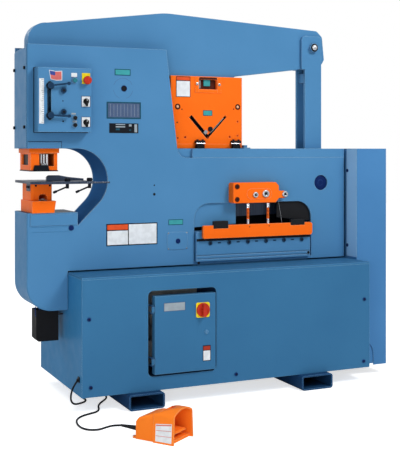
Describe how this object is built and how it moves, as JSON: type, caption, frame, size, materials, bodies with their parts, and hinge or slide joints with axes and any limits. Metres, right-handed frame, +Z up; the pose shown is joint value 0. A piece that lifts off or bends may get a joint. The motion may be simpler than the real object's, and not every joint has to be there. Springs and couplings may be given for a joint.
{
  "type": "ironworker machine",
  "caption": "Hydraulic ironworker: punching throat at one end, angle shear under an arch, flat-bar shear with guard, base cabinet on skids, corded foot switch.",
  "frame": {"origin": "on the floor, in the middle of the footprint, foot switch included", "axes": "+Z up, +X along the machine to the operator's right, +Y from the operator towards the back"},
  "size_m": [1.978, 1.3269, 1.9208],
  "materials": {
    "blue_paint": "satin",
    "orange_paint": "satin",
    "black_paint": "satin",
    "pedal_paint": "satin",
    "grey_paint": "satin",
    "ground_steel": "ground",
    "bright_metal": "polished",
    "black_metal": "satin",
    "grey_plastic": "matte",
    "black_plastic": "matte",
    "red_plastic": "gloss",
    "green_plastic": "gloss",
    "black_rubber": "matte"
  },
  "bodies": {
    "machine": {"skid_tubes": "blue_paint", "base_frame": "blue_paint", "base_deck": "blue_paint", "base_front_cover": "blue_paint", "base_rear_cover": "blue_paint", "frame_plate": "blue_paint", "front_plate": "blue_paint", "rear_plate": "blue_paint", "throat_liner": "blue_paint", "head_end_cover": "blue_paint", "jaw_end_cover": "blue_paint", "cabinet_top": "blue_paint", "end_cabinet": "blue_paint", "tie_post": "blue_paint", "angle_plate": "orange_paint", "angle_hold_downs": "black_paint", "bar_bracket": "orange_paint", "shear_bed": "blue_paint", "lower_blade": "ground_steel", "stripper_housing": "orange_paint", "stripper_plate": "ground_steel", "bolster": "orange_paint", "die_holder": "orange_paint", "die": "ground_steel", "punch_table": "ground_steel", "control_panel": "blue_paint", "electric_box": "blue_paint", "electric_gear": "grey_plastic", "oil_tank": "blue_paint", "pump_set": "grey_paint", "punch_cylinder": "grey_paint", "shear_cylinder": "grey_paint", "slug_bin": "black_paint", "pedal_body": "pedal_paint", "cord_gland": "black_plastic", "cord_relief": "black_rubber", "cord": "black_rubber"},
    "punch_ram": {"punch_ram": "ground_steel", "punch_nut": "ground_steel", "punch": "ground_steel"},
    "shear_ram": {"shear_ram": "blue_paint", "upper_blade": "ground_steel", "angle_blade": "ground_steel"},
    "guard": {"guard_bar": "orange_paint"},
    "door": {"enclosure_door": "blue_paint"},
    "disconnect": {"disconnect_knob": "red_plastic"},
    "latch": {"door_latch": "bright_metal"},
    "emergency_stop": {"emergency_stop": "red_plastic"},
    "start_button": {"start_button": "green_plastic"},
    "jog_upper": {"jog_button_upper": "black_plastic"},
    "jog_lower": {"jog_button_lower": "black_plastic"},
    "selector_upper": {"selector_upper": "black_plastic"},
    "selector_lower": {"selector_lower": "black_plastic"},
    "stop_upper": {"stroke_stop_upper": "black_metal"},
    "stop_lower": {"stroke_stop_lower": "black_metal"},
    "clamp_upper": {"clamp_lever_upper": "black_metal"},
    "clamp_lower": {"clamp_lever_lower": "black_metal"},
    "table_lever_left": {"table_lever_left": "black_metal"},
    "table_lever_right": {"table_lever_right": "black_metal"},
    "treadle": {"treadle": "pedal_paint"}
  },
  "joints": [
    {"name": "punch_ram_slide", "type": "slide", "parent": "machine", "child": "punch_ram", "axis": [0, 0, -1], "range_m": [0, 0.06]},
    {"name": "shear_ram_slide", "type": "slide", "parent": "machine", "child": "shear_ram", "axis": [0, 0, -1], "range_m": [0, 0.078]},
    {"name": "guard_lift", "type": "slide", "parent": "machine", "child": "guard", "axis": [0, 0, 1], "range_m": [0, 0.08]},
    {"name": "door_hinge", "type": "hinge", "parent": "machine", "child": "door", "pos_m": [-0.44, -0.0723, 0.339], "axis": [0, 0, -1], "range_deg": [0, 110]},
    {"name": "disconnect_turn", "type": "hinge", "parent": "door", "child": "disconnect", "pos_m": [-0.181, -0.0783, 0.446], "axis": [0, 1, 0], "range_deg": [0, 90]},
    {"name": "latch_turn", "type": "hinge", "parent": "door", "child": "latch", "pos_m": [-0.161, -0.0733, 0.337], "axis": [0, 1, 0], "range_deg": [0, 90]},
    {"name": "emergency_stop_push", "type": "slide", "parent": "machine", "child": "emergency_stop", "axis": [0, 1, 0], "range_m": [0, 0.006]},
    {"name": "start_push", "type": "slide", "parent": "machine", "child": "start_button", "axis": [0, 1, 0], "range_m": [0, 0.004], "stiffness_N_per_m": 800, "springref_m": -0.002},
    {"name": "jog_upper_push", "type": "slide", "parent": "machine", "child": "jog_upper", "axis": [0, 1, 0], "range_m": [0, 0.004], "stiffness_N_per_m": 800, "springref_m": -0.002},
    {"name": "jog_lower_push", "type": "slide", "parent": "machine", "child": "jog_lower", "axis": [0, 1, 0], "range_m": [0, 0.004], "stiffness_N_per_m": 800, "springref_m": -0.002},
    {"name": "selector_upper_turn", "type": "hinge", "parent": "machine", "child": "selector_upper", "pos_m": [-0.7175, 0.0937, 1.453], "axis": [0, 1, 0], "range_deg": [-45, 45]},
    {"name": "selector_lower_turn", "type": "hinge", "parent": "machine", "child": "selector_lower", "pos_m": [-0.7175, 0.0937, 1.353], "axis": [0, 1, 0], "range_deg": [-45, 45]},
    {"name": "stop_upper_slide", "type": "slide", "parent": "machine", "child": "stop_upper", "axis": [0, 0, -1], "range_m": [0, 0.035]},
    {"name": "stop_lower_slide", "type": "slide", "parent": "machine", "child": "stop_lower", "axis": [0, 0, 1], "range_m": [0, 0.025]},
    {"name": "clamp_upper_turn", "type": "hinge", "parent": "stop_upper", "child": "clamp_upper", "pos_m": [-0.895, 0.0837, 1.523], "axis": [0, 1, 0], "range_deg": [-60, 15]},
    {"name": "clamp_lower_turn", "type": "hinge", "parent": "stop_lower", "child": "clamp_lower", "pos_m": [-0.895, 0.0837, 1.384], "axis": [0, 1, 0], "range_deg": [-15, 60]},
    {"name": "table_lever_left_turn", "type": "hinge", "parent": "machine", "child": "table_lever_left", "pos_m": [-0.807, 0.1017, 1.066], "axis": [0, 0, 1], "range_deg": [-45, 45]},
    {"name": "table_lever_right_turn", "type": "hinge", "parent": "machine", "child": "table_lever_right", "pos_m": [-0.697, 0.1017, 1.066], "axis": [0, 0, 1], "range_deg": [-45, 45]},
    {"name": "treadle_press", "type": "hinge", "parent": "machine", "child": "treadle", "pos_m": [-0.58421, -0.5248, 0.034], "axis": [0.8141, 0.5807, 0], "range_deg": [0, 8], "stiffness_Nm_per_rad": 5, "springref_deg": -11.46}
  ]
}
